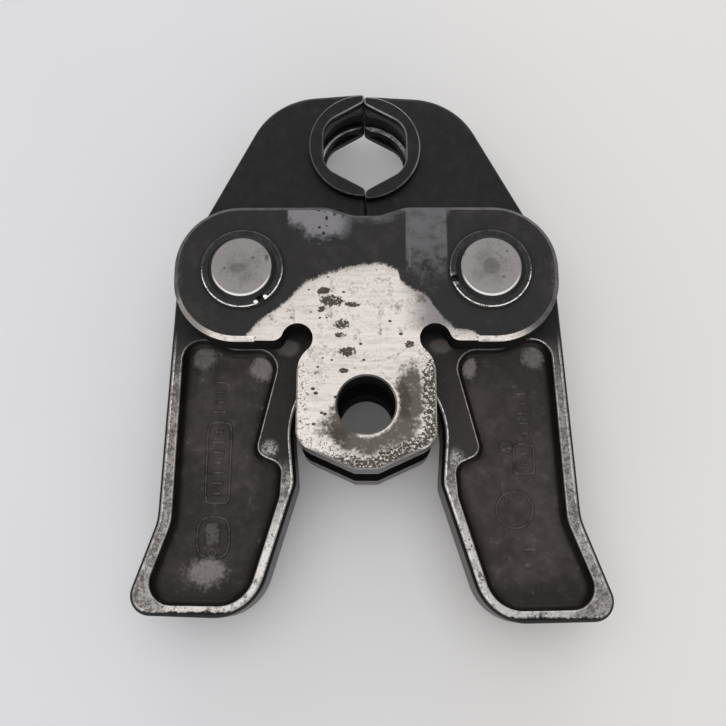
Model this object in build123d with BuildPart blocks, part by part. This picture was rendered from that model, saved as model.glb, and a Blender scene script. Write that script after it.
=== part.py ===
"""Press fitting tool jaw, in millimetres.

Two forged levers turn on pins between two outer plates and close a split hexagonal
die over a 22 mm tube fitting. The origin is the axis of the retaining bolt's bore at
mid thickness, +X to the right, +Y towards the die, and +Z out of the front plate.
"""
import os
from math import cos, radians, tan

from build123d import *

os.makedirs("parts", exist_ok=True)

# Plates: overall size, and the stem that the machine's fork takes
plate_thickness = 8.1
slot_width = 14.4
plate_width = 97.8
bar_height = 36.2
bar_middle = 34.3
bar_corner_radius = 16.5
plate_bevel = 1.2
bevel_stop = 28.0
stem_width = 34.4
stem_drop = 15.9
stem_shoulder_drop = 9.4
stem_foot_width = 6.0
stem_corner_round = 5.0
notch_radius = 3.9
notch_height = 16.8
notch_round = 2.6
neck_round = 8.0
dip_depth = 2.3
dip_width = 20.4
dip_floor_width = 6.6
dip_round = 6.0
bolt_bore_diameter = 14.4
bore_bevel = 0.4

# Pivot pins and their snap rings
pin_spacing = 62.8
pin_height = 34.9
pin_diameter = 17.5
pin_stand = 2.3
pin_face_diameter = 15.1
pin_plate_clearance = 0.03
pin_lever_clearance = 0.05
ring_thickness = 1.2
ring_outer_diameter = 20.6
ring_gap = 1.7
groove_depth = 0.7
groove_clearance = 0.05
ring_gap_angles = {"left": -59, "right": 197}

# Levers: one forging each. Their tails were trimmed apart, and end a little differently
lever_side_clearance = 0.15
lever_edge_round = 1.5
joint_gap = 0.02
rest_lean = 0.6
lever_top = 89.8
tail_drop = {"left": 50.8, "right": 51.9}
tail_reach = {"left": 28.6, "right": 29.4}
tail_corner_rise = {"left": 1.4, "right": 0.4}

# Split die, for a 22 mm fitting
die_height = 72.6
die_flats = 22.4
die_corner_round = 6.4
die_ring_diameter = 30.1
die_ring_stand = 2.6
die_ring_overlap = 1.0
die_lip_round = 1.8
die_joint_round = 0.8
die_edge_bevel = 0.35
hex_land_width = 2.3
round_land_radius = 12.1
bead_width = 7.6
bead_radius = 13.4
bead_flank = 0.25

# Forged recesses in the tails
pan_depth = 3.4
pan_floor_round = 2.8
pan_edge_round = 0.4
tail_rim = 3.0
pan_end_inset = 4.4
level_tolerance = 0.01

# Closing spring between the levers
spring_height = 22.5
spring_wire = 1.6
spring_diameter = 8.4
spring_turns = 8
spring_seat_clearance = 0.3
pocket_clearance = 0.6
pocket_floor_inset = 13.9

pin_x = pin_spacing / 2
body_thickness = slot_width + 2 * plate_thickness
lever_thickness = slot_width - 2 * lever_side_clearance
die_thickness = lever_thickness + 2 * die_ring_stand
joint_x = -joint_gap / 2
round_land_start = die_thickness / 2 - hex_land_width
pocket_floor = pin_x - pocket_floor_inset


def nearest_corner(sketch, x, y):
    """The corner of a sketch that lies nearest to a point."""
    return sketch.vertices().sort_by_distance((x, y, 0))[0]


# Outline of one plate: a bar with round ends and a shallow dip in its top edge between
# the levers, and a stem below it, set off by two round notches
bar_top = bar_middle + bar_height / 2
bar_bottom = bar_middle - bar_height / 2
notch_reach = (notch_radius**2 - (bar_bottom - notch_height) ** 2) ** 0.5

with BuildSketch() as bar_outline:
    with Locations((0, bar_middle)):
        RectangleRounded(plate_width, bar_height, bar_corner_radius)
    with BuildLine():
        Polyline(
            (-dip_width / 2, bar_top),
            (-dip_floor_width / 2, bar_top - dip_depth),
            (dip_floor_width / 2, bar_top - dip_depth),
            (dip_width / 2, bar_top),
            close=True,
        )
    make_face(mode=Mode.SUBTRACT)
    for side in (-1, 1):
        for x, y in ((dip_width / 2, bar_top), (dip_floor_width / 2, bar_top - dip_depth)):
            fillet(nearest_corner(bar_outline, side * x, y), radius=dip_round)

with BuildSketch() as stem_outline:
    with BuildLine():
        Polyline(
            (-bevel_stop, bar_bottom),
            (-stem_width / 2, bar_bottom),
            (-stem_width / 2, -stem_shoulder_drop),
            (-stem_foot_width / 2, -stem_drop),
            (stem_foot_width / 2, -stem_drop),
            (stem_width / 2, -stem_shoulder_drop),
            (stem_width / 2, bar_bottom),
            (bevel_stop, bar_bottom),
            (stem_width / 2, bar_middle),
            (-stem_width / 2, bar_middle),
            close=True,
        )
    make_face()
    for side in (-1, 1):
        shoulder = nearest_corner(stem_outline, side * stem_width / 2, -stem_shoulder_drop)
        fillet(shoulder, radius=stem_corner_round)

with BuildSketch() as plate_outline:
    add(bar_outline.sketch)
    add(stem_outline.sketch)
    with Locations((-stem_width / 2, notch_height), (stem_width / 2, notch_height)):
        Circle(notch_radius, mode=Mode.SUBTRACT)
    for side in (-1, 1):
        edge_x = side * stem_width / 2
        bar_corner = nearest_corner(plate_outline, edge_x + side * notch_reach, bar_bottom)
        fillet(bar_corner, radius=notch_round)
        neck_corner = nearest_corner(plate_outline, edge_x, notch_height - notch_radius)
        fillet(neck_corner, radius=neck_round)
    Circle(bolt_bore_diameter / 2, mode=Mode.SUBTRACT)
    with Locations((-pin_x, pin_height), (pin_x, pin_height)):
        Circle(pin_diameter / 2 + pin_plate_clearance, mode=Mode.SUBTRACT)

# The bar is bevelled all round its outer face. The stem only has its edges broken, and the
# bevel runs out beside it
with BuildPart() as bevelled_bar:
    with BuildSketch(Plane.XY.offset(slot_width / 2)):
        add(bar_outline.sketch)
    extrude(amount=plate_thickness)
    chamfer(bevelled_bar.faces().sort_by(Axis.Z)[-1].edges(), length=plate_bevel)

with BuildPart() as stem:
    with BuildSketch(Plane.XY.offset(slot_width / 2)):
        add(stem_outline.sketch)
    extrude(amount=plate_thickness)
    stem_edges = stem.faces().sort_by(Axis.Z)[-1].edges()
    chamfer(stem_edges.filter_by(lambda edge: edge.center().Y < bar_bottom - bore_bevel), bore_bevel)

with BuildPart() as plate:
    add(bevelled_bar.part)
    add(stem.part)
    with BuildSketch(Plane.XY.offset(slot_width / 2)):
        add(plate_outline.sketch)
    extrude(amount=plate_thickness, mode=Mode.INTERSECT)
    outer_face = plate.faces().sort_by(Axis.Z)[-1]
    bore_edges = outer_face.inner_wires().sort_by(lambda wire: wire.center().Y)[0].edges()
    chamfer(bore_edges, length=bore_bevel)

with BuildPart() as front_plate:
    add(plate.part)
front_plate.part.label = "front_plate"
export_step(front_plate.part, "parts/front_plate.step")

with BuildPart() as back_plate:
    add(plate.part.mirror(Plane.XY))
back_plate.part.label = "back_plate"
export_step(back_plate.part, "parts/back_plate.step")

# Pivot pin, turned: a plain shaft with a snap ring groove outside each plate and
# both ends tapered to a flat face
groove_inner = body_thickness / 2
groove_outer = groove_inner + ring_thickness + groove_clearance
pin_end = groove_inner + pin_stand
groove_radius = pin_diameter / 2 - groove_depth

with BuildPart() as pin:
    with BuildSketch(Plane.XZ):
        with BuildLine():
            Polyline(
                (0, 0),
                (pin_diameter / 2, 0),
                (pin_diameter / 2, groove_inner),
                (groove_radius, groove_inner),
                (groove_radius, groove_outer),
                (pin_diameter / 2, groove_outer),
                (pin_face_diameter / 2, pin_end),
                (0, pin_end),
                close=True,
            )
        make_face()
    revolve(axis=Axis.Z)
    mirror(about=Plane.XY)

# Snap ring, stamped flat and open on one side, lying on the plate's face
with BuildPart() as snap_ring:
    with BuildSketch(Plane.XY.offset(groove_inner)):
        Circle(ring_outer_diameter / 2)
        Circle(groove_radius + groove_clearance, mode=Mode.SUBTRACT)
        with Locations((ring_outer_diameter / 2, 0)):
            Rectangle(ring_outer_diameter, ring_gap, mode=Mode.SUBTRACT)
    extrude(amount=ring_thickness)

for name, side in (("left", -1), ("right", 1)):
    seat = Location((side * pin_x, pin_height, 0))

    with BuildPart(seat) as placed_pin:
        add(pin.part)
    placed_pin.part.label = f"{name}_pin"
    export_step(placed_pin.part, f"parts/{name}_pin.step")

    turned_ring = snap_ring.part.rotate(Axis.Z, ring_gap_angles[name])
    with BuildPart(seat) as front_ring:
        add(turned_ring)
    front_ring.part.label = f"{name}_front_snap_ring"
    export_step(front_ring.part, f"parts/{name}_front_snap_ring.step")

    with BuildPart(seat) as back_ring:
        add(turned_ring.mirror(Plane.XY))
    back_ring.part.label = f"{name}_back_snap_ring"
    export_step(back_ring.part, f"parts/{name}_back_snap_ring.step")


def lever_corners(name):
    """Corners of a lever's outline, drawn on the left: from the joint face round the
    shoulder, down the outer side to the tail, and back up the cam side that the machine's
    roller runs on. Each is placed from the pin or the joint, with the radius that rounds it."""
    tail_end = -tail_drop[name]
    return [
        ((joint_x, lever_top), 0.6),
        ((joint_x - 24.9, lever_top - 1.8), 20),
        ((-pin_x - 18.2, pin_height + 4.8), 40),
        ((-pin_x - 20.8, pin_height - 61.9), 14),
        ((-pin_x - tail_reach[name], tail_end + tail_corner_rise[name]), 5),
        ((-pin_x + 3.3, tail_end), 13),
        ((-pin_x + 13.5, pin_height - 53.2), 6),
        ((-pin_x + 12.2, pin_height - 37.7), 20),
        ((joint_x, pin_height + 6.0), 6),
    ]


def pan_corners(name):
    """Corners of the recess in a tail, inside the lever's rim, with their radii."""
    pan_end = tail_rim - tail_drop[name]
    return [
        ((-pin_x - 15.9, pin_height - 16.1), 5.0),
        ((-pin_x - 17.2, pin_height - 62.4), 12),
        ((-pin_x - tail_reach[name] + pan_end_inset, pan_end + tail_corner_rise[name] / 2), 5.5),
        ((-pin_x + 1.2, pan_end), 9.0),
        ((-pin_x + 9.3, pin_height - 56.4), 5.0),
        ((-pin_x + 9.8, pin_height - 48.5), 3.4),
        ((-pin_x + 3.1, pin_height - 45.6), 3.0),
        ((-pin_x + 9.5, pin_height - 18.9), 5.0),
        ((-pin_x - 3.1, pin_height - 18.9), 6.0),
        ((-pin_x - 9.1, pin_height - 16.2), 5.0),
    ]


def rounded_outline(corners):
    """A closed line through corners, each rounded by its own radius."""
    points = [corner for corner, radius in corners]
    radii = [radius for corner, radius in corners]
    return FilletPolyline(*points, radius=radii, close=True)


# The two levers, each drawn on the left side and the right one then mirrored
for name, side in (("left", -1), ("right", 1)):
    with BuildPart() as lever_forging:
        with BuildSketch(Plane.XY.offset(-lever_thickness / 2)):
            with BuildLine():
                rounded_outline(lever_corners(name))
            make_face()
        extrude(amount=lever_thickness)
        face_edges = lever_forging.edges().filter_by(Axis.Z, reverse=True)
        outer_edges = face_edges.filter_by(lambda edge: edge.center().X < joint_x - joint_gap)
        fillet(outer_edges, lever_edge_round)

        # The die half: a boss proud of both faces round a hexagonal mouth, whose corners and
        # lips are rounded
        with BuildSketch(Plane.XY.offset(-lever_thickness / 2)):
            with Locations((0, die_height)):
                Circle(die_ring_diameter / 2 - die_ring_overlap)
        extrude(amount=lever_thickness, mode=Mode.SUBTRACT)
        with BuildSketch(Plane.XY.offset(-die_thickness / 2)) as die_section:
            with Locations((0, die_height)):
                Circle(die_ring_diameter / 2)
                RegularPolygon(die_flats / 2, 6, major_radius=False, rotation=30, mode=Mode.SUBTRACT)
            with Locations((joint_x, die_height)):
                Rectangle(
                    die_ring_diameter,
                    die_ring_diameter,
                    align=(Align.MAX, Align.CENTER),
                    mode=Mode.INTERSECT,
                )
            for y in (-1, 1):
                flat_end = die_height + y * die_flats / 2 * tan(radians(30))
                lip = die_height + y * die_flats / 2 / cos(radians(30))
                fillet(nearest_corner(die_section, -die_flats / 2, flat_end), die_corner_round)
                ring_end = die_height + y * die_ring_diameter / 2
                fillet(nearest_corner(die_section, joint_x, lip), die_lip_round)
                fillet(nearest_corner(die_section, joint_x, ring_end), die_joint_round)
        extrude(amount=die_thickness)
        die_faces = lever_forging.faces().filter_by(Axis.Z).sort_by(Axis.Z)
        chamfer(die_faces[0].edges() + die_faces[-1].edges(), die_edge_bevel)

        # Inside the mouth, round lands behind the hexagonal ones and a bead groove between
        with BuildSketch(Plane.XZ.offset(-die_height)):
            with BuildLine():
                Polyline(
                    (0, round_land_start),
                    (round_land_radius, round_land_start),
                    (round_land_radius, bead_width / 2),
                    (bead_radius, bead_width / 2 - bead_flank),
                    (bead_radius, 0),
                    (0, 0),
                    close=True,
                )
            make_face()
            mirror(about=Plane.XZ)
        revolve(axis=Axis((0, die_height, 0), (0, 0, 1)), mode=Mode.SUBTRACT)

        # The pivot hole and the spring's blind pocket
        with BuildSketch(Plane.XY.offset(-lever_thickness / 2)):
            with Locations((-pin_x, pin_height)):
                Circle(pin_diameter / 2 + pin_lever_clearance)
        extrude(amount=lever_thickness, mode=Mode.SUBTRACT)
        with BuildSketch(Plane.YZ.offset(-pocket_floor)):
            with Locations((spring_height, 0)):
                Circle(spring_diameter / 2 + pocket_clearance)
        extrude(amount=pocket_floor, mode=Mode.SUBTRACT)

        # A recess in both faces of the tail, whose walls run into its floor in a wide radius
        for face_side in (1, -1):
            level = face_side * lever_thickness / 2
            with BuildSketch(Plane.XY.offset(level)):
                with BuildLine():
                    rounded_outline(pan_corners(name))
                make_face()
            extrude(amount=-face_side * pan_depth, mode=Mode.SUBTRACT)
            floor = lever_forging.faces().filter_by(Axis.Z).sort_by_distance(
                (-pin_x, -pin_height, level - face_side * pan_depth)
            )[0]
            fillet(floor.edges(), pan_floor_round)
            level_faces = lever_forging.faces().filter_by_position(
                Axis.Z, level - level_tolerance, level + level_tolerance
            )
            body_face = level_faces.sort_by(SortBy.AREA)[-1]
            pan_edge = body_face.inner_wires().sort_by(lambda wire: wire.center().Y)[0]
            fillet(pan_edge.edges(), pan_edge_round)

    # A closed lever leans a little to the left about its own pin
    drawn = lever_forging.part if side < 0 else lever_forging.part.mirror(Plane.YZ)
    pin_axis = Axis((side * pin_x, pin_height, 0), (0, 0, 1))
    with BuildPart() as lever:
        add(drawn.rotate(pin_axis, rest_lean))
    lever.part.label = f"{name}_lever"
    export_step(lever.part, f"parts/{name}_lever.step")

# Compression spring in the levers' pockets, which keeps the die closed: a helix about X,
# its end turns ground flat
spring_length = 2 * (pocket_floor - spring_seat_clearance)
wound_length = spring_length + spring_wire
coil_radius = (spring_diameter - spring_wire) / 2

with BuildPart() as closing_spring:
    with BuildLine():
        coil = Helix(
            pitch=wound_length / spring_turns,
            height=wound_length,
            radius=coil_radius,
            center=(-wound_length / 2, spring_height, 0),
            direction=(1, 0, 0),
        )
    with BuildSketch(Plane(origin=coil @ 0, z_dir=coil % 0)):
        Circle(spring_wire / 2)
    sweep()
    split(bisect_by=Plane.YZ.offset(spring_length / 2), keep=Keep.BOTTOM)
    split(bisect_by=Plane.YZ.offset(-spring_length / 2), keep=Keep.TOP)
closing_spring.part.label = "closing_spring"
export_step(closing_spring.part, "parts/closing_spring.step")
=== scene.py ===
"""Looks of the press jaw: two forged levers with a split die, between two worn steel plates."""
from math import cos, radians, sin

import bmesh
import bpy
import numpy as np
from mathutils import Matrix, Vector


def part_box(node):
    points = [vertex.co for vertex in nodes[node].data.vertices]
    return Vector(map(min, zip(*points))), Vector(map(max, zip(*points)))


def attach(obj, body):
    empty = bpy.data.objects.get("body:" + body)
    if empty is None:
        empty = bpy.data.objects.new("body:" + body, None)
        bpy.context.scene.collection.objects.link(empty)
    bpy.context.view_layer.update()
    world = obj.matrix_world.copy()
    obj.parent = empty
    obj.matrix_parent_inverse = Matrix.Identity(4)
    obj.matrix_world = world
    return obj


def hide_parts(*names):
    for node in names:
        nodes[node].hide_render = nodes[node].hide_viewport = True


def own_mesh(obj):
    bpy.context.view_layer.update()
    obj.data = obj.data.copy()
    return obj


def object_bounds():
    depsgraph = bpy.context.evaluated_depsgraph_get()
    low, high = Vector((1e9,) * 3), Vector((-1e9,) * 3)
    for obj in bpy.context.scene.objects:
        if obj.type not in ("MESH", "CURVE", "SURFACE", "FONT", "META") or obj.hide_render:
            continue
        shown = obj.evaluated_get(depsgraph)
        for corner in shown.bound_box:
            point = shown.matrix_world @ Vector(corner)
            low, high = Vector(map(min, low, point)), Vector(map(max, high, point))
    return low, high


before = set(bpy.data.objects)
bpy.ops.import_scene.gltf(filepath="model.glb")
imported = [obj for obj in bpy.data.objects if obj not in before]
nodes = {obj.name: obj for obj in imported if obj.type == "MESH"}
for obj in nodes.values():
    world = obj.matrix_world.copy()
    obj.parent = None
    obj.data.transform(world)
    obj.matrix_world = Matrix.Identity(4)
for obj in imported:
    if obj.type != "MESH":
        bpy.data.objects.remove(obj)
cad_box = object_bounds()

# The table: the jaw lies on the back ends of its pins on a smooth, pale painted top. The
# camera looks down on it from a little below the tails.
scene = bpy.context.scene
scene.view_settings.view_transform = "Standard"

camera_place = (0.00012, -0.04582, 0.23144)
camera_turn = (radians(14.58), radians(0.25), 0.0)
camera_data = bpy.data.cameras.new("camera")
camera_data.sensor_width = 36.0
camera_data.lens = 44.88
camera_data.clip_start = 0.01
camera = bpy.data.objects.new("camera", camera_data)
camera.location = camera_place
camera.rotation_euler = camera_turn
scene.collection.objects.link(camera)
scene.camera = camera

table_level = cad_box[0][2]
table_half = 1.5
corners = [
    (table_half * across, table_half * along, table_level)
    for across, along in ((-1, -1), (1, -1), (1, 1), (-1, 1))
]
table_mesh = bpy.data.meshes.new("table")
table_mesh.from_pydata(corners, [], [(0, 1, 2, 3)])
table = bpy.data.objects.new("table", table_mesh)
scene.collection.objects.link(table)


class Field:
    """One socket of a material's nodes. Arithmetic on fields adds Math nodes, and node()
    adds any other kind: its settings come first, then the values or links of its inputs."""

    def __init__(self, tree, socket=None):
        self.tree = tree
        self.socket = socket

    def node(self, kind, settings=None, inputs=None, output=0):
        made = self.tree.nodes.new(kind)
        for name, value in (settings or {}).items():
            if name == "stops":
                points = made.mapping.curves[0].points
                points[0].location, points[1].location = value[0], value[-1]
                for stop in value[1:-1]:
                    points.new(*stop)
                made.mapping.update()
            else:
                setattr(made, name, value)
        for name, value in (inputs or {}).items():
            if isinstance(value, Field):
                self.tree.links.new(value.socket, made.inputs[name])
            else:
                made.inputs[name].default_value = value
        return Field(self.tree, made.outputs[output] if made.outputs else None)

    def math(self, operation, *operands):
        return self.node("ShaderNodeMath", {"operation": operation}, dict(enumerate(operands)))

    def __add__(self, other):
        return self.math("ADD", self, other)

    def __radd__(self, other):
        return self.math("ADD", other, self)

    def __sub__(self, other):
        return self.math("SUBTRACT", self, other)

    def __rsub__(self, other):
        return self.math("SUBTRACT", other, self)

    def __mul__(self, other):
        return self.math("MULTIPLY", self, other)

    def __rmul__(self, other):
        return self.math("MULTIPLY", other, self)

    def __abs__(self):
        return self.math("ABSOLUTE", self)

    def hypot(self, other):
        return self.math("SQRT", self * self + other * other)

    def high(self, other):
        return self.math("MAXIMUM", self, other)

    def low(self, other):
        return self.math("MINIMUM", self, other)

    def rise(self, start, end):
        """0 below start, 1 above end, and a smooth step between; end may be the lower one."""
        settings = {"interpolation_type": "SMOOTHSTEP", "clamp": True}
        inputs = {"Value": self, "From Min": start, "From Max": end}
        return self.node("ShaderNodeMapRange", settings, inputs)

    def between(self, start, end, soft):
        """1 from start to end, falling to 0 over a width of soft outside them."""
        return self.rise(start - soft, start) * self.rise(end + soft, end)

    def mix(self, first, second):
        """The number first where this field is 0, and second where it is 1."""
        return self * (second - first) + first

    def tint(self, first, second):
        """The colour first where this field is 0, and second where it is 1."""
        made = self.tree.nodes.new("ShaderNodeMix")
        made.data_type = "RGBA"
        self.tree.links.new(self.socket, made.inputs["Factor"])
        for socket, value in zip((made.inputs[6], made.inputs[7]), (first, second)):
            if isinstance(value, Field):
                self.tree.links.new(value.socket, socket)
            else:
                socket.default_value = (*value, 1.0)
        return Field(self.tree, made.outputs[2])

    def stretched(self, x, y, z):
        """This position with each axis multiplied by its own number."""
        return self.node("ShaderNodeVectorMath", {"operation": "MULTIPLY"}, {0: self, 1: (x, y, z)})

    def noise(self, scale, detail=3.0, roughness=0.55):
        """Cloudy noise about 0.5 over this position, scale cells to the millimetre."""
        inputs = {"Vector": self, "Scale": scale, "Detail": detail, "Roughness": roughness}
        return self.node("ShaderNodeTexNoise", {"noise_dimensions": "3D"}, inputs)


def start_material(name):
    """An empty steel material with the place of each point in millimetres, its three
    coordinates, and how far its surface faces front or back (1 on a plate's face)."""
    material = bpy.data.materials.new(name)
    material.use_nodes = True
    material.node_tree.nodes.clear()
    canvas = Field(material.node_tree)
    own = canvas.node("ShaderNodeTexCoord", output="Object")
    place = own.stretched(1000.0, 1000.0, 1000.0)
    axes = [canvas.node("ShaderNodeSeparateXYZ", None, {0: place}, output=i) for i in range(3)]
    normal = canvas.node("ShaderNodeTexCoord", output="Normal")
    facing = abs(canvas.node("ShaderNodeSeparateXYZ", None, {0: normal}, output=2))
    return material, canvas, place, axes, facing


def finish_material(canvas, colour, metallic, roughness, height, relief, shine=0.5):
    """The surface's shader. height is a field of relief in millimetres over relief, and
    shine is the shader's specular level, the same all over."""
    bump = canvas.node(
        "ShaderNodeBump", None, {"Height": height, "Strength": 1.0, "Distance": relief}, output="Normal"
    )
    inputs = {
        "Base Color": colour,
        "Metallic": metallic,
        "Roughness": roughness,
        "Specular IOR Level": shine,
        "Normal": bump,
    }
    shader = canvas.node("ShaderNodeBsdfPrincipled", None, inputs)
    canvas.node("ShaderNodeOutputMaterial", None, {"Surface": shader})


cool_white = (0.84, 0.83, 0.85)
pale_white = (0.88, 0.87, 0.88)
warm_white = (0.90, 0.885, 0.85)
table_paint, canvas, place, (x, y, z), facing = start_material("table_paint")
sheet = place.noise(0.012, 3.0).tint(cool_white, pale_white)
paint_colour = x.rise(-90.0, 110.0).tint(sheet, warm_white)
finish_material(canvas, paint_colour, 0.0, 0.55, place.noise(0.6, 2.0), 0.00001)
table_mesh.materials.append(table_paint)

# The studio: one soft lamp overhead, low ones behind the die and before the tails, and an
# even pale room. Each lamp has its place, its width and depth, and its power in watts.
lamps = {
    "overhead": ((-0.05, 0.10, 0.80), (0.88, 0.68), 2.2),
    "far_side": ((0.05, 0.85, 0.27), (0.90, 0.34), 2.5),
    "near_side": ((0.00, -0.80, 0.21), (1.60, 0.38), 3.4),
}
for lamp_name, (lamp_place, (lamp_width, lamp_depth), power) in lamps.items():
    lamp_data = bpy.data.lights.new(lamp_name, "AREA")
    lamp_data.shape = "RECTANGLE"
    lamp_data.size = lamp_width
    lamp_data.size_y = lamp_depth
    lamp_data.energy = power
    lamp = bpy.data.objects.new(lamp_name, lamp_data)
    lamp.location = lamp_place
    aim = -lamp.location.normalized()
    lamp.rotation_euler = aim.to_track_quat("-Z", "Y").to_euler()
    scene.collection.objects.link(lamp)

room_light = 0.52
room = bpy.data.worlds.new("room")
room.use_nodes = True
room_walls = room.node_tree.nodes["Background"].inputs
room_walls["Color"].default_value = (0.80, 0.80, 0.82, 1.0)
room_walls["Strength"].default_value = room_light
scene.world = room

# The plates: two like pieces cut from 8 mm steel plate and blackened, the bar bevelled all
# round its outer face. The stem that slides in the machine's fork is rubbed bright and pitted.
bright_steel = (0.585, 0.54, 0.50)
dull_steel = (0.40, 0.37, 0.345)
greyed_steel = (0.150, 0.142, 0.146)
# Bright worn steel, also used for painted highlights on edges
bright_wear_and_glint = (0.72, 0.69, 0.66)
stain_deep = (0.044, 0.036, 0.027)
stain_pale = (0.100, 0.086, 0.073)
black_oxide = (0.019, 0.0182, 0.0185)
brown_oxide = (0.022, 0.0185, 0.0165)
# Grey film on the oxide, also the bevel's painted sheen
grey_film_and_sheen = (0.150, 0.145, 0.150)
pale_film = (0.235, 0.226, 0.242)
dust_grey = (0.075, 0.072, 0.070)
sawn_grey = (0.135, 0.130, 0.125)
pit_dirt = (0.048, 0.038, 0.025)
# Near black for painted shade: in the plates' bores and on their slot faces, round the snap rings, on the
# pins' sides and under the levers' edges
shade_black = (0.003, 0.0027, 0.0025)

# Places and sizes in millimetres from the bore's axis
plate_low, plate_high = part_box("front_plate")
plate_front = plate_high.z * 1000
plate_top = plate_high.y * 1000
plate_end = plate_high.x * 1000
stem_foot = plate_low.y * 1000
slot_face = 7.2
stem_half = 17.2
stem_root = 17.0
stem_shoulder = -9.4
stem_foot_half = 3.0
bore_radius = 7.2
pin_centres = {"left": -31.4, "right": 31.4}
pin_height = 34.9
ring_radius = 10.3

# Height of the wear's upper edge over the plate's width
wear_span = 36.0
wear_height = 60.0
wear_edge = [
    (-36.0, 11.0), (-30.5, 17.1), (-25.9, 22.1), (-20.2, 26.5), (-16.5, 30.3), (-13.8, 32.4),
    (-9.0, 34.2), (-4.2, 35.6), (7.5, 35.4), (8.7, 32.5), (11.2, 30.2), (13.7, 29.1),
    (16.2, 26.8), (18.1, 23.8), (20.2, 21.4), (22.6, 19.4), (27.5, 18.5), (29.6, 16.0), (36.0, 11.0),
]
# Centres and half sizes of the pitted spots, the largest first
pit_spots = [
    (-8.6, 26.6, 5.4, 2.7), (-6.1, 20.4, 4.0, 2.4), (-4.4, 13.4, 3.6, 2.3),
    (-6.4, 17.6, 3.2, 1.5), (-10.8, 29.3, 3.0, 1.7), (-5.6, 8.5, 2.6, 1.2),
    (10.7, 15.2, 2.3, 1.9), (-3.4, 25.6, 3.6, 1.3), (-11.4, 24.4, 1.6, 1.6),
]
# Dark spots in the haze left of the dip, with half sizes
haze_spots = [
    (-12.2, 51.2, 0.7, 0.6), (-10.7, 50.7, 0.4, 0.3), (-8.1, 50.1, 0.8, 0.9),
    (-10.2, 49.0, 0.6, 1.0), (-12.0, 46.4, 0.6, 0.6), (-10.9, 44.8, 0.7, 0.8),
    (-10.1, 46.8, 0.4, 0.3), (-6.0, 49.4, 0.5, 0.9),
]
# Single dark specks, with their radius
pit_specks = [
    (-13.9, 23.6, 0.35), (-11.6, 22.1, 0.4), (-9.9, 22.1, 0.35), (-5.7, 28.9, 0.45),
    (-9.7, 32.9, 0.35), (-14.5, 29.5, 0.35), (-1.4, 15.3, 0.5), (-12.0, 9.4, 0.4),
    (-10.8, 11.7, 0.35), (-8.5, 11.2, 0.4), (-0.6, 11.2, 0.45), (5.9, 21.2, 0.5),
    (8.6, 17.9, 0.6), (-13.1, 3.9, 0.6), (-12.4, 2.8, 0.65), (-10.9, -2.1, 0.5),
    (-12.8, -4.9, 0.55), (-10.1, -2.4, 0.6), (-7.5, 1.8, 0.6), (-2.9, 25.2, 0.5),
]


def disc(x, y, centre_x, centre_y, radius_x, radius_y):
    """1 at the centre of an ellipse, falling to 0 at its edge."""
    across = (x - centre_x) * (1 / radius_x)
    along = (y - centre_y) * (1 / radius_y)
    return across.hypot(along).rise(1.0, 0.0)


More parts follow.
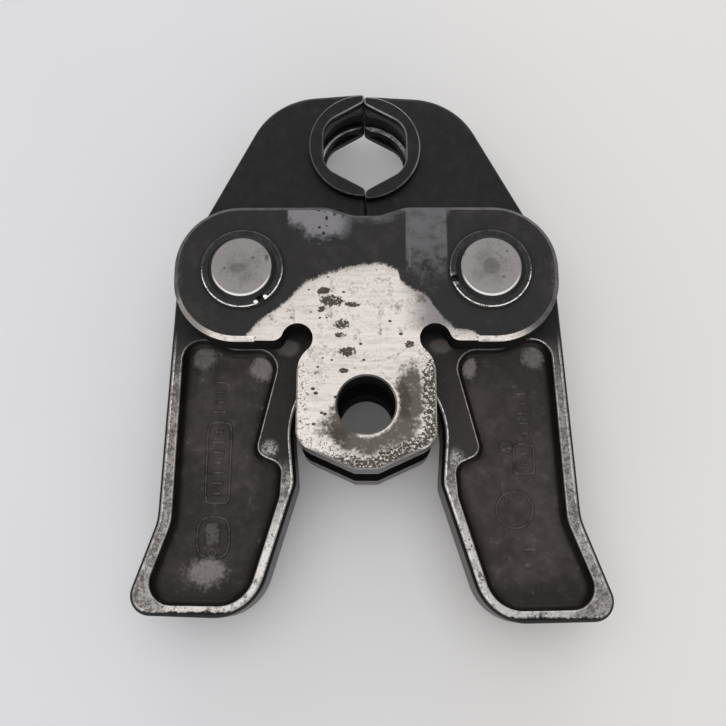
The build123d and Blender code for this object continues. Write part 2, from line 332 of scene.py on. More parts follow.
def plate_steel(name, shift):
    """Blackened plate steel, rubbed bright below the wear's edge. shift moves the noise."""
    material, canvas, place, (x, y, z), facing = start_material(name)
    place = place.node("ShaderNodeVectorMath", {"operation": "ADD"}, {0: place, 1: (shift, 0, 0)})
    broad = place.noise(0.07, 4.0, 0.6)
    medium = place.noise(0.35, 4.0, 0.6)
    fine = place.noise(1.3, 3.0, 0.65)
    grit = place.noise(3.4, 3.0, 0.7)
    brushing = place.stretched(0.12, 3.2, 0.4).noise(1.0, 3.0, 0.7)
    streaks = place.stretched(0.05, 0.8, 0.4).noise(1.0, 3.0, 0.6)
    face = abs(z).rise(plate_front - 0.3, plate_front - 0.1) * facing.rise(0.9, 0.98)
    bevel = facing.between(0.6, 0.85, 0.12)
    wall = facing.rise(0.5, 0.3)
    bore_reach = x.hypot(y)

    # The rubbed area, with a ragged edge, greyer towards its right end
    share = (x + wear_span) * (0.5 / wear_span)
    stops = [((px + wear_span) / (2 * wear_span), py / wear_height) for px, py in wear_edge]
    edge = canvas.node("ShaderNodeFloatCurve", {"stops": stops}, {"Value": share}) * wear_height
    ragged = (medium - 0.5) * 2.6 + (fine - 0.5) * 2.2 + (grit - 0.5) * 1.6
    depth = edge - y + ragged
    rubbed = depth.rise(-0.3, 0.7) * face
    greying = (x + (medium - 0.5) * 6.0 + (fine - 0.5) * 3.0).rise(7.5, 16.5) * y.rise(17.0, 21.0)
    near_edge = depth.rise(3.0, 0.5)

    # How far a point lies inside the stem's outline, and the pitted band along it
    slope_run = (stem_half - stem_foot_half, stem_shoulder - stem_foot)
    slope_length = (slope_run[0] ** 2 + slope_run[1] ** 2) ** 0.5
    slope = (
        (stem_half - abs(x)) * (slope_run[1] / slope_length)
        + (y - stem_shoulder) * (slope_run[0] / slope_length)
    )
    inset = (stem_half - abs(x)).low(slope).low(y - stem_foot)
    rim = (inset + (medium - 0.5) * 3.4).rise(4.4, 2.0) * y.rise(stem_root, 6.0)
    pitted = rim * (x.rise(-6.0, 4.0).high(y.rise(-11.5, -14.0))).mix(0.30, 1.0)

    # The stain round the bore's lower right side
    stain = disc(x, y, 1.2, -3.6, 16.5, 13.2).high(disc(x, y, 10.8, 2.4, 5.6, 10.5) * 0.8)
    stain = stain * (x - y + 9.0 + (fine - 0.5) * 3.0).rise(0.0, 1.6)
    stain = (stain + (medium - 0.5) * 1.0 + (fine - 0.5) * 0.6).rise(0.00, 0.42) * (1 - rim * 0.75)
    off_lip = (bore_reach + (fine - 0.5) * 1.5).rise(bore_radius + 0.4, bore_radius + 1.4)
    stain = stain * off_lip.high(x.rise(-1.0, -3.0))
    deep = disc(x, y, -8.0, -7.6, 7.0, 5.6).high(disc(x, y, 9.4, 1.0, 3.2, 9.0) * 0.9)
    deep = (deep + (medium - 0.5) * 1.0).rise(0.15, 0.75)

    # Pits: brown scabs, single specks, and dark grit along the stem's rim
    spots = disc(x, y, *pit_spots[0])
    for spot in pit_spots[1:]:
        spots = spots.high(disc(x, y, *spot))
    scabs = spots.rise(0.0, 0.8) * 0.34 + fine * 0.75 + medium * 0.50 + (grit - 0.5) * 0.5
    scabs = scabs.rise(0.84, 0.90)
    specks = disc(x, y, *pit_specks[0][:2], pit_specks[0][2], pit_specks[0][2])
    for speck_x, speck_y, radius in pit_specks[1:]:
        specks = specks.high(disc(x, y, speck_x, speck_y, radius * 1.3, radius))
    specks = specks.rise(0.15, 0.5)
    grime = (grit * 0.40 + fine * 0.60 + pitted * 0.125).rise(0.580, 0.610)
    grime = grime * pitted.rise(0.05, 0.4)
    strays = (fine * 0.5 + grit * 0.5).rise(0.66, 0.70) * x.rise(5.0, -3.0).mix(0.25, 0.8)
    pits = scabs.high(specks).high(grime).high(strays) * face

    # Films on the oxide: a dipped band, a haze along the top edge and broad clouds; and round each snap
    # ring a dark halo of painted shadow
    band_width = x.between(10.4, 20.4, 0.5) * y.rise(24.0, 30.0)
    band = band_width * (medium * 0.6 + fine * 0.4 + y.rise(30.0, 46.0) * 0.25).rise(0.44, 0.68)
    mottle = (medium * 0.5 + grit * 0.5).rise(0.34, 0.58).mix(0.5, 1.0)
    band = band * y.rise(28.0, 46.0).mix(0.30, 1.0) * mottle
    band_edge = x.between(10.9, 11.3, 0.3) * y.between(36.0, 46.5, 1.0) * fine.rise(0.35, 0.5) * 0.9
    below_top = y - plate_top + abs(x).rise(12.0, 4.0) * 2.3
    dip_film = below_top.rise(-3.6, -0.8) * x.between(-9.0, 21.0, 2.0)
    top_film = dip_film * (medium * 0.6 + fine * 0.4).rise(0.36, 0.60) * 0.75
    end_film = abs(x).rise(plate_end - 3.0, plate_end - 1.0) * (medium + fine).rise(0.90, 1.15) * 0.4
    clouds = (broad * 0.6 + medium * 0.4).rise(0.46, 0.68) * 0.14
    film = band.high(band_edge).high(top_film).high(end_film).high(clouds)
    haze = x.rise(-20.6, -19.8) * (x + (medium - 0.5) * 5.0).rise(-3.0, -8.0)
    haze_foot = y + x.rise(-21.0, -12.0) * 4.0 + (medium - 0.5) * 7.0 + (fine - 0.5) * 3.0
    haze = haze * haze_foot.rise(46.5, 50.0)
    blots = disc(x, y, *haze_spots[0])
    for spot in haze_spots[1:]:
        blots = blots.high(disc(x, y, *spot))
    haze = haze * (medium * 0.4 + fine * 0.6).rise(0.3, 0.5).mix(0.75, 1.0)
    haze = haze * (blots + (fine - 0.5) * 0.3).rise(0.45, 0.20)
    left_reach = (x - pin_centres["left"]).hypot(y - pin_height)
    right_reach = (x - pin_centres["right"]).hypot(y - pin_height)
    # Painted shadow round each snap ring, where it lies on the plate
    halo = left_reach.low(right_reach).rise(ring_radius + 1.5, ring_radius)

    # The bevel: rubbed where the plate meets the machine and the tails, with a mottled grey painted sheen
    # on top and a painted highlight on the bore's lip at its lower right
    low_side = (y + x.rise(30.0, 44.0) * 5.5 + (medium - 0.5) * 5.0).rise(29.0, 26.5)
    low_side = low_side * (medium * 0.5 + fine * 0.5).rise(0.30, 0.42) * y.rise(15.8, 16.6)
    stem_side = y.rise(stem_root, 15.0) * (fine * 0.6 + grit * 0.4).rise(0.36, 0.50)
    stem_side = stem_side * y.rise(-12.0, -10.0).mix(0.25, 1.0)
    lip = bore_reach.rise(bore_radius + 0.7, bore_radius + 0.5)
    # Painted highlight on the bore's chamfer at its lower right
    bore_lip_glint = lip * (x - y).rise(0.0, 6.0)
    lip_loss = lip * (1 - bore_lip_glint)
    bevel_wear_and_glint = bevel * low_side.high(stem_side).high(bore_lip_glint) * (1 - lip_loss)
    # Painted sheen: mottled grey over the bevel
    bevel_sheen = bevel * ((medium * 0.6 + broad * 0.4).rise(0.35, 0.65)).mix(0.25, 0.9)

    # Rubbed bare steel, together with the painted highlight on the bore's lip
    bare_and_lit = rubbed.high(bevel_wear_and_glint)
    oxide = broad.rise(0.42, 0.62).tint(black_oxide, brown_oxide)
    oxide = film.high(bevel_sheen).tint(oxide, grey_film_and_sheen)
    oxide = (haze * face).tint(oxide, pale_film)
    oxide = (halo * face * 0.75).tint(oxide, shade_black)
    oxide = ((grit * 0.5 + fine * 0.5).rise(0.62, 0.74) * 0.5).tint(oxide, dust_grey)
    steel = (brushing * 0.5 + streaks * 0.5).rise(0.36, 0.62).tint(dull_steel, bright_steel)
    steel = ((broad * 0.4 + medium * 0.6).rise(0.40, 0.56) * 0.8).tint(steel, bright_steel)
    steel = (rim * (fine * 0.5 + grit * 0.5).rise(0.46, 0.60)).tint(steel, bright_wear_and_glint)
    steel = (near_edge * (1 - rim) * 0.35).tint(steel, dull_steel)
    steel = (greying * 0.85).tint(steel, greyed_steel)
    stained = (deep * fine.rise(0.25, 0.50).mix(0.7, 1.0)).tint(stain_pale, stain_deep)
    steel = (stain * (medium * 0.5 + fine * 0.5).rise(0.28, 0.5).mix(0.6, 0.97)).tint(steel, stained)
    colour = bare_and_lit.tint(oxide, steel)
    colour = (pits * bare_and_lit.mix(0.25, 0.92)).tint(colour, pit_dirt)

    # Sawn walls: grey on the outside, and near black as painted shade in the bores and on the slot's
    # faces
    outside = wall * bore_reach.rise(bore_radius + 0.4, bore_radius + 1.0) * y.rise(16.0, 13.0)
    colour = (outside * fine.mix(0.3, 1.0)).tint(colour, sawn_grey)
    inner_line = outside * abs(z).rise(slot_face + 0.8, slot_face + 0.4)
    inner_line = inner_line * (medium + fine).rise(0.85, 1.10)
    colour = (inner_line * 0.8).tint(colour, dull_steel)
    # Painted shade: the bores' walls and the slot's faces near black
    inside_shade = (wall * (1 - outside)).high(facing.rise(0.9, 0.98) * (1 - face))
    colour = inside_shade.tint(colour, shade_black)

    metallic = bare_and_lit * pits.mix(1.0, 0.1) * stain.mix(1.0, 0.35)
    roughness = bare_and_lit.mix(0.42, 0.34) + (fine - 0.5) * 0.16 + pits * 0.3 + inside_shade * 0.4
    height = grit * 0.2 + fine * 0.3 + brushing * bare_and_lit * 0.35 - pits * 1.2 - rim * fine * 0.8
    finish_material(canvas, colour, metallic, roughness, height, 0.00005, 0.20)
    return material


def coat(node, material):
    """Puts a material on all of a CAD node."""
    slots = nodes[node].material_slots
    for slot in slots:
        slot.material = material
    if not slots:
        nodes[node].data.materials.append(material)


coat("front_plate", plate_steel("front_plate_steel", 0.0))
coat("back_plate", plate_steel("back_plate_steel", 190.0))

# The pivot pins: turned from round bar, with both ends faced and tapered, and dulled by handling. The
# lower edge of each face carries a painted highlight, its taper is black, and its sides are near black as
# painted shade.
pin_grey = (0.250, 0.236, 0.232)
pin_dark = (0.130, 0.122, 0.120)
dent_dark = (0.070, 0.064, 0.062)
pin_face_radius = 7.55
# Dents and dark smudges on the faces, from each pin's axis
pin_dents = {
    "left": [(-0.8, -0.4, 2.6, 1.7), (2.9, 2.4, 0.5, 0.6), (6.3, 2.3, 0.8, 1.5), (-4.2, -0.4, 0.5, 0.5)],
    "right": [(0.0, 0.0, 2.7, 2.7), (4.2, 4.0, 0.6, 0.4), (3.0, -2.8, 0.7, 0.5), (-6.8, 3.4, 0.5, 1.0)],
}


def pin_steel(name, side, centre_x):
    """Dulled turned steel with faint rings about the pin's axis, dents and dark specks."""
    material, canvas, place, (x, y, z), facing = start_material(name)
    radius = (x - centre_x).hypot(y - pin_height)
    broad = place.noise(0.18, 4.0, 0.65)
    fine = place.noise(1.4, 3.0, 0.65)
    grit = place.noise(4.5, 2.0, 0.5)
    turns = radius * 9.0 + (fine - 0.5) * 2.0
    rings = turns.math("SINE", turns)
    tone = (broad * 0.60 + fine * 0.25 + grit * 0.15 + radius.rise(2.0, 7.0) * 0.12).rise(0.34, 0.66)
    colour = tone.tint(pin_dark, pin_grey)
    dents = disc(x - centre_x, y - pin_height, *pin_dents[side][0]).rise(0.0, 0.25) * 0.45
    for dent in pin_dents[side][1:]:
        dents = dents.high(disc(x - centre_x, y - pin_height, *dent).rise(0.1, 0.5) * 0.8)
    colour = (dents * fine.rise(0.3, 0.5)).tint(colour, dent_dark)
    taper = radius.rise(pin_face_radius, pin_face_radius + 0.08)
    lower = (pin_height - y).rise(1.0, 5.0)
    colour = taper.tint(colour, black_oxide)
    # Painted highlight along the lower edge of each face
    edge_highlight = radius.between(pin_face_radius - 0.25, pin_face_radius + 0.15, 0.1) * lower
    colour = edge_highlight.tint(colour, bright_wear_and_glint)
    specks = (fine * 0.6 + grit * 0.4).rise(0.66, 0.70)
    colour = (specks * 0.8).tint(colour, pit_dirt)
    # Painted shade: the pin's sides near black
    groove = facing.rise(0.4, 0.2)
    colour = groove.tint(colour, shade_black)
    roughness = 0.40 + (broad - 0.5) * 0.2 + specks * 0.3 + groove * 0.3
    height = rings * 0.10 + fine * 0.5 + grit * 0.2 - specks * 1.5
    metallic = (1 - groove) * (1 - taper * (1 - edge_highlight) * 0.8)
    finish_material(canvas, colour, metallic, roughness, height, 0.00003, 0.20)
    return material


for side, centre_x in pin_centres.items():
    coat(f"{side}_pin", pin_steel(f"{side}_pin_steel", side, centre_x))

# The levers: drop forgings of tool steel, machined flat on both faces, with a recess in each
# tail and half of the die in the head. Blackened all over, and rubbed bright on the rims.
forged_black = (0.0105, 0.0098, 0.0105)
forged_grey = (0.020, 0.0185, 0.0185)
# Painted shade along the edges of the recess floor
floor_shade_black = (0.0095, 0.0076, 0.0068)
# Painted shade on the recess walls
recess_wall_shade_black = (0.0065, 0.0052, 0.0046)
# Painted shade in the die's mouth
die_shade_black = (0.0055, 0.0050, 0.0050)
tip_black = (0.0060, 0.0055, 0.0055)
# Lighter painted reflection at each tail's lower end
tip_reflection_grey = (0.052, 0.046, 0.052)
# Painted light at the joint
joint_light_grey = (0.034, 0.032, 0.034)
# Painted light on the die's front round land and back hex land
lit_round_land_grey = (0.105, 0.098, 0.098)
lit_back_land_grey = (0.100, 0.094, 0.094)
forged_dust = (0.09, 0.083, 0.078)
# Painted reflection of the pale table on the lower walls
wall_reflection_grey = (0.120, 0.110, 0.104)
# Painted light on the marks' tops
lit_mark_grey = (0.100, 0.088, 0.081)
# Painted highlights on the recess floor, partly polish from wear
highlight_polish_grey = (0.250, 0.226, 0.210)
flange_grey = (0.170, 0.150, 0.136)
rim_steel = (0.46, 0.435, 0.415)
lever_face = 7.05
die_face = 9.65
die_centre = -0.4
die_height = 72.6
die_mouth_radius = 14.5
joint_half = 0.8
edge_round = 1.5
recess_top = 19.5
recess_floor = 3.65
# Lighter places in each tail's recess, painted highlights where the floor's fillets catch the light and
# partly polished by wear, with their strength
floor_highlight_places = {
    "left": [(-42.2, 14.6, 4.6, 4.8, 0.55), (-27.0, 12.4, 4.4, 6.0, 1.0), (-39.2, -39.8, 7.6, 5.6, 0.9)],
    "right": [(26.7, 12.3, 3.0, 5.0, 0.9), (43.2, 15.2, 4.4, 5.0, 0.7)],
}
# Where each tail's lower edge turns dark, as painted shade
tip_edges = {"left": -48.6, "right": -49.9}
# How bright the lower rim is, and the two tones of the recess's floor and of the flange
rim_shines = {"left": 0.9, "right": 0.35}
floor_tones = {
    "left": ((0.0200, 0.0158, 0.0138), (0.0620, 0.0510, 0.0455)),
    "right": ((0.0280, 0.0222, 0.0192), (0.0700, 0.0575, 0.0510)),
}
flange_tones = {
    "left": ((0.0200, 0.0168, 0.0155), (0.0310, 0.0260, 0.0235)),
    "right": ((0.0290, 0.0245, 0.0225), (0.0400, 0.0340, 0.0310)),
}
# The rubbed nose on the inside of each tail
nose_places = {"left": (-24.2, -9.6, 3.2, 3.4), "right": (22.4, -12.4, 3.0, 4.6)}
# Where the recess's edge has a painted highlight in its upper corner, and a rubbed place beside the slot
corner_highlights = {"left": (-47.5, 15.0, 1.0, 1.0), "right": (45.6, 17.0, 5.0, 5.0)}
flange_rubs = {"left": (-20.0, 16.4, 4.6, 3.6), "right": (19.0, 17.0, 4.4, 3.4)}


def forged_steel(name, side, direction):
    """Blackened forging. direction is -1 on the left lever and 1 on the right one."""
    material, canvas, place, (x, y, z), facing = start_material(name)
    level = abs(z)
    outward = x * direction
    broad = place.noise(0.06, 4.0, 0.6)
    medium = place.noise(0.30, 4.0, 0.6)
    fine = place.noise(1.2, 3.0, 0.65)
    grit = place.noise(3.6, 3.0, 0.7)
    face = level.between(lever_face - 0.05, lever_face + 0.05, 0.1) * facing.rise(0.97, 0.995)
    wall = facing.rise(0.5, 0.2)

    # Flat rim round the tail's recess: dark near the hub, brighter towards the tip
    outer_strip = outward.rise(45.0, 46.0) * y.rise(20.0, 4.0)
    inner_strip = y.rise(-11.0, -18.0)
    tip_edge = tip_edges[side]
    tip_line = y + (medium - 0.5) * 0.8
    tip_shade = (tip_line + (fine - 0.5) * 1.2).rise(tip_edge, tip_edge - 0.6)
    ragged = (fine * 0.45 + medium * 0.2 + grit * 0.35).rise(0.42, 0.58)
    bright_zone = outward.rise(40.0, 30.0).high(y.rise(-44.5, -46.5) * outward.rise(53.0, 47.0))
    bright_zone = bright_zone * y.rise(-14.0, -34.0)
    rim_wear = ragged.mix(0.22, 1.0) * y.rise(-5.0, -40.0).mix(0.74, 0.95)
    rim_wear = rim_wear.high(bright_zone * (medium * 0.5 + fine * 0.5).rise(0.36, 0.48))
    rim_wear = rim_wear * (grit * 0.5 + fine * 0.5).rise(0.56, 0.62).mix(1.0, 0.25)
    nose = disc(x, y, *nose_places[side]).rise(0.0, 0.7) * (grit * 0.6 + fine * 0.4).rise(0.42, 0.56)
    wear = (outer_strip.high(inner_strip) * rim_wear).high(nose * 0.75) * face * (1 - tip_shade)

    # Thin bright lines, rubbed and with painted highlights: along the outer edge, and along the recess,
    # whose edge rounds over in less depth
    drop = lever_face - level
    low_side = y.rise(22.0, 12.0)
    near_top = level.rise(lever_face - 0.55, lever_face - 0.35) * level.rise(lever_face + 0.1, lever_face)
    recess_edge = (1 - facing - drop * (1 / edge_round)).rise(0.03, 0.10) * near_top
    # Painted highlight on the recess's edge in its upper corner
    shine = disc(x, y, *corner_highlights[side]).rise(0.0, 0.3)
    recess_edge = recess_edge * y.rise(17.5, 5.0).mix(0.16, 1.0).high(shine) * y.rise(20.0, 19.0)
    outer_edge = facing.rise(0.84, 0.90) * facing.rise(0.998, 0.985) * near_top
    outer_edge = outer_edge * (1 - recess_edge) * low_side
    # A patchy mask that mottles the rubbed lines, the painted highlights and the lit tops of the marks
    worn = (medium * 0.6 + fine * 0.5).rise(0.42, 0.62)
    lines = recess_edge.high(outer_edge) * worn.mix(0.45, 1.0) * (1 - tip_shade)
    # Painted shade on the lower part of each edge's round, on the lower side
    under_edge_shade = facing.between(0.12, 0.80, 0.06) * low_side
    under_edge_shade = under_edge_shade * (level - lever_face).between(-1.6, -0.3, 0.1)

    # The die: lands in painted shade, the front round land and the back hex land lighter with painted
    # light, a painted highlight on the bead groove's lower flank, and chamfers rubbed and with painted
    # highlights
    mouth = x.hypot(y - die_height).rise(die_mouth_radius + 0.1, die_mouth_radius - 0.1)
    mouth = mouth * level.rise(die_face - 0.3, die_face - 0.5) * y.rise(50.0, 52.0)
    mouth_reach = (x - die_centre).hypot(y - die_height)
    # Painted highlight on the bead groove's lower flank
    flank = mouth * facing.rise(0.7, 0.9) * z.between(-4.0, -3.3, 0.2) * mouth_reach.rise(13.1, 12.7)
    round_land = mouth * wall * level.between(3.9, 7.2, 0.1)
    back_land = mouth * wall * z.rise(-7.2, -7.5)
    # Die chamfers, rubbed and with a painted highlight that grows towards the upper right
    chamfers = facing.between(0.6, 0.85, 0.1) * level.rise(die_face - 0.5, die_face - 0.3)
    lit = (x * 0.05 + (y - die_height) * 0.05 + 0.5).rise(0.2, 1.2)
    chamfer_wear_and_glint = chamfers * lit.mix(0.35, 1.0) * worn.mix(0.5, 1.0)

    # The recess, with mottled glossy clouds on its floor
    recess = level.rise(lever_face - 0.4, lever_face - 0.8) * y.rise(recess_top + 1.0, recess_top)
    recess = recess * facing.rise(0.15, 0.4)
    # Painted highlights on the recess floor, partly polish from wear
    highlight_pads = recess * 0.0
    for *spot, strength in floor_highlight_places[side]:
        highlight_pad = disc(x, y, *spot) + (medium - 0.5) * 0.9 + (fine - 0.5) * 0.6
        highlight_pads = highlight_pads.high(highlight_pad.rise(0.10, 0.70) * strength)
    highlight_pads = highlight_pads * recess
    rub = (disc(x, y, *flange_rubs[side]) + (medium - 0.5) * 0.8).rise(0.1, 0.7) * face
    gloss = (broad * 0.55 + medium * 0.45).rise(0.38, 0.66)
    # Painted shade on the recess's walls and fillets
    recess_wall_shade = recess * level.rise(recess_floor + 0.30, recess_floor + 0.6)
    # Painted light on the tops of the marks
    lit_mark_tops = level.rise(recess_floor + 0.14, recess_floor + 0.19) * recess
    lit_mark_tops = lit_mark_tops * facing.rise(0.965, 0.99) * worn

    # Painted shade on the floor along its outer wall, which is two straight lines, along its lower end
    # and along its inner wall
    outer_wall = (49.0 - y * 0.105).high(43.6 - y * 0.30)
    inner_wall = 16.9 - y * 0.27
    floor_shade = (outward - outer_wall).rise(-6.0, -1.2)
    floor_shade = floor_shade.high((y + (medium - 0.5) * 3.0).rise(-38.5, -45.5))
    inner_floor_shade = (outward - inner_wall).rise(4.6, 1.2) * y.rise(-14.0, -20.0)
    floor_shade = floor_shade.high(inner_floor_shade * 0.8) * recess * medium.rise(0.2, 0.5).mix(0.7, 1.0)

    # Painted light on the rounded edges at the joint between the two levers, which show a dark seam
    joint = (x - die_centre).between(-joint_half, joint_half, joint_half)
    joint = joint * facing.rise(0.995, 0.97)

    colour = (medium * 0.6 + broad * 0.4).rise(0.40, 0.66).tint(forged_black, forged_grey)
    colour = (face * y.rise(21.0, 15.0)).tint(colour, gloss.tint(*flange_tones[side]))
    colour = recess.tint(colour, gloss.tint(*floor_tones[side]))
    colour = (floor_shade * 0.72).tint(colour, floor_shade_black)
    colour = (highlight_pads * fine.rise(0.3, 0.6).mix(0.7, 1.0)).tint(colour, highlight_polish_grey)
    colour = (lit_mark_tops * 0.9).tint(colour, lit_mark_grey)
    colour = (rub * 0.75).tint(colour, flange_grey)
    colour = (recess_wall_shade * 0.92).tint(colour, recess_wall_shade_black)
    # Painted shade at each tail's tip, turning to a lighter painted reflection of the table at its lower
    # end
    tip_tone = tip_line.rise(tip_edge - 1.0, tip_edge - 1.8).tint(tip_black, tip_reflection_grey)
    colour = (tip_shade * facing.rise(0.3, 0.5)).tint(colour, tip_tone)
    # Painted reflection of the table on the tails' walls
    wall_reflection = wall * (1 - mouth) * y.rise(14.0, 6.0) * (medium * 0.6 + fine * 0.4).rise(0.34, 0.62)
    colour = (wall_reflection * 0.85).tint(colour, wall_reflection_grey)
    # Painted shade under the edges
    colour = (under_edge_shade * 0.9).tint(colour, shade_black)
    colour = (joint * y.rise(63.0, 60.0) * facing.rise(0.2, 0.5)).tint(colour, joint_light_grey)
    dust = (grit * 0.5 + fine * 0.5).rise(0.63, 0.73)
    colour = (dust * 0.4).tint(colour, forged_dust)
    # Painted shade on the die's walls
    colour = (mouth * wall).tint(colour, die_shade_black)
    # Painted light on the front half of the round land and on the back hex land
    land_light_mottle = (medium * 0.5 + fine * 0.5).rise(0.34, 0.56).mix(0.3, 1.0)
    colour = (round_land * z.rise(-1.0, 1.0) * land_light_mottle).tint(colour, lit_round_land_grey)
    colour = (back_land * 0.8).tint(colour, lit_back_land_grey)
    bare_and_lit = wear.high(lines).high(chamfer_wear_and_glint).high(flank * worn.mix(0.35, 1.0))
    rim_shine = bright_zone * rim_shines[side]
    colour = bare_and_lit.tint(colour, lines.high(flank).high(rim_shine).tint(rim_steel, bright_wear_and_glint))

    roughness = bare_and_lit.mix(0.40, 0.32) + (medium - 0.5) * 0.2 - highlight_pads * 0.08 + (mouth * wall) * 0.15
    height = grit * 0.3 + fine * 0.6 + medium * 1.2 - ragged * face * 0.7
    finish_material(canvas, colour, bare_and_lit, roughness, height, 0.00006, 0.18)
    return material


lever_steel = {}
for side, direction in (("left", -1.0), ("right", 1.0)):
    lever_steel[side] = forged_steel(f"{side}_lever_steel", side, direction)
    coat(f"{side}_lever", lever_steel[side])

# Forged marks on the recess floors: low raised bars, rings and studs, sunk into the floor
# by half of their section. They are part of each forging and turn with it.
mark_height = 0.24
mark_width = 0.75


def add_piece(name, grid, wrap_across, body, material):
    """One mesh from a grid of points in millimetres. The rows close on themselves, and the
    columns too if wrap_across is set; else the first and last column each shrink to a pole."""
    rows, columns = grid.shape[:2]
    index = np.arange(rows * columns).reshape(rows, columns)
    ahead = np.roll(index, -1, axis=0)
    if wrap_across:
        here, beside = (index, ahead), (np.roll(index, -1, axis=1), np.roll(ahead, -1, axis=1))
    else:
        here, beside = (index[:, :-1], ahead[:, :-1]), (index[:, 1:], ahead[:, 1:])
    faces = np.stack([here[0], here[1], beside[1], beside[0]], axis=-1).reshape(-1, 4)
    mesh = bpy.data.meshes.new(name)
    mesh.from_pydata((grid.reshape(-1, 3) * 0.001).tolist(), [], faces.tolist())
    fused = bpy.data.objects.new(name, mesh)
    scene.collection.objects.link(fused)
    clean = bmesh.new()
    clean.from_mesh(mesh)
    bmesh.ops.remove_doubles(clean, verts=clean.verts, dist=1e-7)
    bmesh.ops.recalc_face_normals(clean, faces=clean.faces)
    clean.to_mesh(mesh)
    clean.free()
    mesh.shade_smooth()
    mesh.materials.append(material)
    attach(fused, body)
    return fused


def raised_ring(centre, radius_x, radius_y, squareness):
    """A closed bead: the outline |x/a|^n + |y/b|^n = 1 about a centre, with n set by the
    squareness (2 is an ellipse), carrying an elliptic section half sunk in the floor."""
    turn = np.linspace(0, 2 * np.pi, 96, endpoint=False)[:, None]
    section = np.linspace(0, 2 * np.pi, 14, endpoint=False)[None, :]
    power = 2 / squareness
    out_x = np.sign(np.cos(turn)) * np.abs(np.cos(turn)) ** power
    out_y = np.sign(np.sin(turn)) * np.abs(np.sin(turn)) ** power
    across = mark_width / 2 * np.cos(section)
    x = centre[0] + out_x * (radius_x + across)
    y = centre[1] + out_y * (radius_y + across)
    z = recess_floor + mark_height * np.sin(section) + 0 * x
    return np.stack([x, y, z], axis=-1)


def raised_stud(centre, half_x, half_y, squareness):
    """A low stud: a superellipsoid, the same outline shrunk by the cosine of a latitude
    that lifts it by the sine, half sunk in the floor."""
    turn = np.linspace(0, 2 * np.pi, 40, endpoint=False)[:, None]
    rise = np.linspace(-np.pi / 2, np.pi / 2, 13)[None, :]
    power = 2 / squareness
    shrink = np.cos(rise) ** 0.6
    shrink[:, [0, -1]] = 0
    x = centre[0] + half_x * shrink * np.sign(np.cos(turn)) * np.abs(np.cos(turn)) ** power
    y = centre[1] + half_y * shrink * np.sign(np.sin(turn)) * np.abs(np.sin(turn)) ** power
    z = recess_floor + mark_height * np.sin(rise) + 0 * x
    return np.stack([x, y, z], axis=-1)


# Each mark: its name, kind, centre, half sizes and squareness, on the side's lever
marks = {
    "left": [
        ("frame", "ring", (-37.4, -12.6), 3.0, 10.2, 8),
        ("date_frame", "ring", (-38.0, -31.2), 4.0, 5.0, 3),
        ("date_plate", "stud", (-38.2, -30.4), 2.0, 3.2, 5),
        ("date_ring", "ring", (-38.2, -35.0), 0.9, 0.9, 2),
    ],
    "right": [
        ("frame", "ring", (39.8, -11.8), 2.5, 3.6, 8),
        ("ring", "ring", (36.9, -24.5), 4.5, 4.5, 2),
        ("ring_dot", "stud", (35.0, -22.4), 0.7, 0.5, 2),
        ("stud", "stud", (35.3, -8.6), 1.9, 1.9, 2),
        ("lower_bar", "stud", (40.4, -34.2), 1.9, 0.5, 4),
        ("lower_stud", "stud", (39.6, -38.0), 1.2, 0.8, 2),
    ],
}
# Each row of bars: the place of its lowest bar, and how many. Their lengths take turns.
bar_rows = {"left": (-37.6, -20.4, 12), "right": (40.2, -13.0, 8)}
bar_pitch = 2.6
bar_halves = (1.2, 1.6, 2.0)
bar_half_height = 0.42
for side, pieces in marks.items():
    row_x, row_y, count = bar_rows[side]
    bars = [
        (f"bar_{i + 1}", "stud", (row_x, row_y + i * bar_pitch), bar_halves[i % 3], bar_half_height, 4)
        for i in range(count)
    ]
    for mark_name, kind, centre, half_x, half_y, squareness in pieces + bars:
        shape = raised_ring if kind == "ring" else raised_stud
        add_piece(
            f"{side}_mark_{mark_name}", shape(centre, half_x, half_y, squareness), kind == "ring",
            f"{side}_lever", lever_steel[side],
        )

# The snap rings: stamped from blackened spring steel, open on one side, and snapped into the pins'
# grooves. Their outer edges are rubbed, with a painted highlight on the lower side.
ring_black = (0.0095, 0.0088, 0.0086)
ring_brown = (0.034, 0.031, 0.030)
ring_end_reach = 9.7
ring_end_turn = 8.0
# The direction of each ring's gap from its axis, and how far its ends are rubbed
ring_gaps = {"left": (-59.0, 1.0), "right": (197.0, 0.25)}


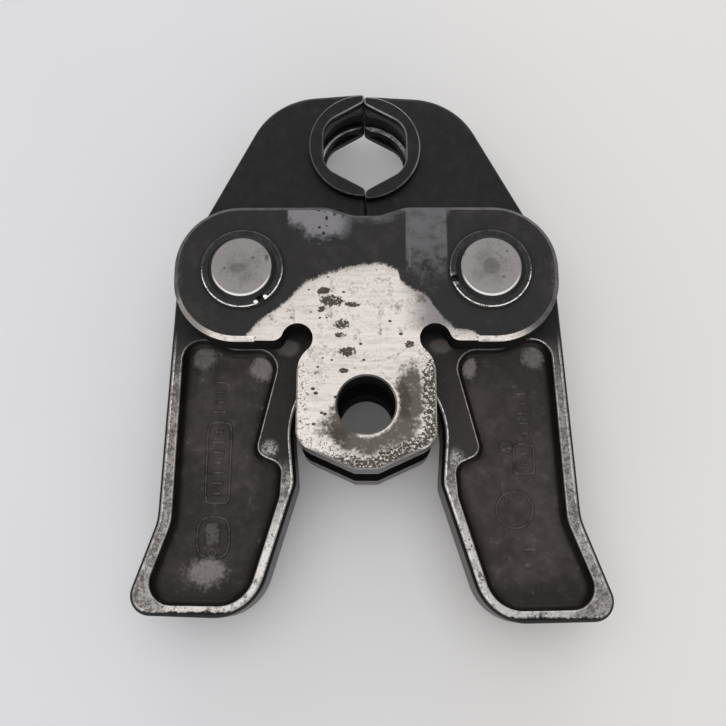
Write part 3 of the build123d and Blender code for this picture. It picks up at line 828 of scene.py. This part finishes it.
def ring_steel(name, centre_x, gap_angle, end_wear):
    """Blackened spring steel, bright along the outer edge, rubbed and with a painted highlight mostly on
    its lower side. end_wear rubs its two ends.
    """
    material, canvas, place, (x, y, z), facing = start_material(name)
    radius = (x - centre_x).hypot(y - pin_height)
    medium = place.noise(0.5, 3.0, 0.6)
    fine = place.noise(2.0, 3.0, 0.6)
    lower = (pin_height - y).rise(-2.0, 4.0)
    edge = radius.rise(9.90, 10.15) * (medium * 0.6 + fine * 0.4).rise(0.36, 0.52)
    # Painted highlight: the edge brightest on the lower side
    edge = edge * lower.mix(0.10, 1.0)
    for turn in (-ring_end_turn, ring_end_turn):
        end_angle = radians(gap_angle + turn)
        end_x = centre_x + ring_end_reach * cos(end_angle)
        end_y = pin_height + ring_end_reach * sin(end_angle)
        edge = edge.high(disc(x, y, end_x, end_y, 0.95, 0.65).rise(0.1, 0.5) * lower * end_wear)
    tone = (medium * 0.5 + fine * 0.5).rise(0.42, 0.64)
    colour = tone.tint(ring_black, ring_brown)
    colour = edge.tint(colour, bright_wear_and_glint)
    roughness = edge.mix(0.40, 0.28)
    finish_material(canvas, colour, edge, roughness, fine, 0.00002, 0.25)
    return material


for side, centre_x in pin_centres.items():
    ring_material = ring_steel(f"{side}_ring_steel", centre_x, *ring_gaps[side])
    coat(f"{side}_front_snap_ring", ring_material)
    coat(f"{side}_back_snap_ring", ring_material)

# The closing spring: coiled from round spring wire, held in a blind hole in each lever. It is made in two
# halves that meet at mid length. Each turns with the hole that holds it.
spring_low, spring_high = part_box("closing_spring")
wire_radius = 0.8
spring_turns = 8
wire_dark = (0.14, 0.135, 0.13)
wire_pale = (0.34, 0.33, 0.32)
spring_material, canvas, place, (x, y, z), facing = start_material("spring_wire_steel")
drawn_marks = place.noise(1.5, 3.0, 0.6)
wire_colour = drawn_marks.rise(0.35, 0.65).tint(wire_dark, wire_pale)
finish_material(canvas, wire_colour, 1.0, 0.38, drawn_marks, 0.00001)


def half_coil(direction):
    """Wire along half of a helix about X: the section's circle stands across the helix's
    tangent, and its two ends shrink to a pole."""
    reach = spring_high.x * 1000 - wire_radius
    middle_y = (spring_low.y + spring_high.y) * 500
    radius = (spring_high.z - spring_low.z) * 500 - wire_radius
    along = np.linspace(0.0, 1.0, 220)
    angle = along * np.pi * spring_turns * direction
    spine = np.stack(
        [along * reach * direction, middle_y + radius * np.cos(angle), radius * np.sin(angle)], axis=-1
    )
    tangent = np.gradient(spine, axis=0)
    tangent /= np.linalg.norm(tangent, axis=1, keepdims=True)
    outward = spine * (0, 1, 1) - (0, middle_y, 0)
    outward /= np.linalg.norm(outward, axis=1, keepdims=True)
    sideways = np.cross(tangent, outward)
    section = np.linspace(0, 2 * np.pi, 16, endpoint=False)
    full = np.ones(len(along))
    full[[0, -1]] = 0
    ring = (
        np.cos(section)[:, None, None] * outward[None] + np.sin(section)[:, None, None] * sideways[None]
    )
    return spine[None] + wire_radius * full[None, :, None] * ring


for side, direction in (("left", -1.0), ("right", 1.0)):
    half = add_piece(
        f"closing_spring_{side}_half", half_coil(direction), False,
        f"{side}_lever", spring_material,
    )
    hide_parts("closing_spring")
    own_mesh(half)
